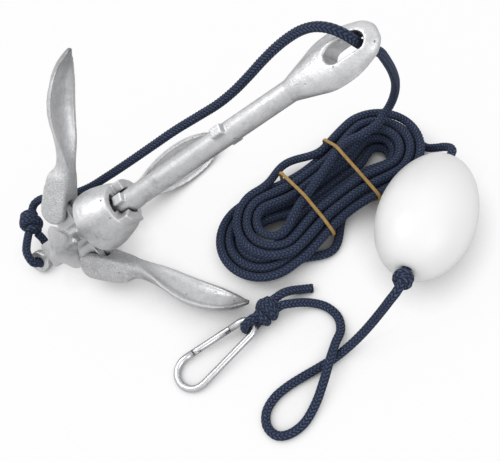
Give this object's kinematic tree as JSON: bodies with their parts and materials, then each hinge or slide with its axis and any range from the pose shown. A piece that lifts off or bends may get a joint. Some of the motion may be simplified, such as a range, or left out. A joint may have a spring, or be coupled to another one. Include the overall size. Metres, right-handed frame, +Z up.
{
  "type": "folding grapnel anchor",
  "caption": "Folding grapnel anchor with four hinged flukes and a sliding locking collar, lying with its hanked rope, egg float and snap hook.",
  "frame": {"origin": "middle of the anchor's own bounding box, on the floor it lies on (rope, float and hook left out)", "axes": "+Z up from the floor, +X along the shank from the crown eye towards the rope eye, +Y to its left"},
  "size_m": [0.3385, 0.2485, 0.1779],
  "materials": {
    "cast_metal": "light grey galvanised casting, slightly rough",
    "pin_steel": "dull rivet steel",
    "rope": "navy braided cord",
    "band": "tan rubber",
    "float": "glossy white shell",
    "zinc_wire": "bright zinc plating"
  },
  "bodies": {
    "anchor": {"shank": "cast_metal", "crown_loop": "rope", "crown_knot": "rope", "rope_main": "rope", "rope_hank": "rope", "hank_band_1": "band", "hank_band_2": "band", "rope_float": "rope", "float_knot": "rope", "rope_lead": "rope", "hook_knot": "rope", "rope_tail": "rope", "hook_body": "zinc_wire", "gate_pin": "zinc_wire"},
    "collar": {"collar": "cast_metal"},
    "fluke_1": {"fluke_1": "cast_metal", "fluke_pin_1": "pin_steel"},
    "fluke_2": {"fluke_2": "cast_metal", "fluke_pin_2": "pin_steel"},
    "fluke_3": {"fluke_3": "cast_metal", "fluke_pin_3": "pin_steel"},
    "fluke_4": {"fluke_4": "cast_metal", "fluke_pin_4": "pin_steel"},
    "float": {"float_body": "float"},
    "gate": {"hook_gate": "zinc_wire", "gate_plunger": "zinc_wire"}
  },
  "joints": [
    {"name": "collar_slide", "type": "slide", "parent": "anchor", "child": "collar", "axis": [0.8655, 0, 0.5008], "range_m": [0, 0.11]},
    {"name": "fluke_1_fold", "type": "hinge", "parent": "anchor", "child": "fluke_1", "pos_m": [-0.10228, 0.01732, 0.04684], "axis": [0.3541, 0.7071, -0.612], "range_deg": [0, 42]},
    {"name": "fluke_2_fold", "type": "hinge", "parent": "anchor", "child": "fluke_2", "pos_m": [-0.08493, -0.01732, 0.01685], "axis": [-0.3541, -0.7071, 0.612], "range_deg": [0, 42]},
    {"name": "fluke_3_fold", "type": "hinge", "parent": "anchor", "child": "fluke_3", "pos_m": [-0.08493, 0.01732, 0.01685], "axis": [0.3541, -0.7071, -0.612], "range_deg": [0, 42]},
    {"name": "fluke_4_fold", "type": "hinge", "parent": "anchor", "child": "fluke_4", "pos_m": [-0.10228, -0.01732, 0.04684], "axis": [-0.3541, 0.7071, 0.612], "range_deg": [0, 42]},
    {"name": "gate_swing", "type": "hinge", "parent": "anchor", "child": "gate", "pos_m": [-0.0198, -0.09814, 0.00501], "axis": [0.0981, 0.05, -0.9939], "range_deg": [0, 20], "stiffness_Nm_per_rad": 0.02, "springref_deg": -20.05},
    {"name": "float_spin", "type": "hinge", "parent": "anchor", "child": "float", "pos_m": [0.155, -0.0485, 0.03348], "axis": [0.4891, 0.8471, -0.2079], "continuous": true}
  ],
  "couplings": [
    {"joint": "fluke_1_fold", "follows": "collar_slide", "rad_per_m": 6.6635},
    {"joint": "fluke_2_fold", "follows": "collar_slide", "rad_per_m": 6.6635},
    {"joint": "fluke_3_fold", "follows": "collar_slide", "rad_per_m": 6.6635},
    {"joint": "fluke_4_fold", "follows": "collar_slide", "rad_per_m": 6.6635}
  ]
}
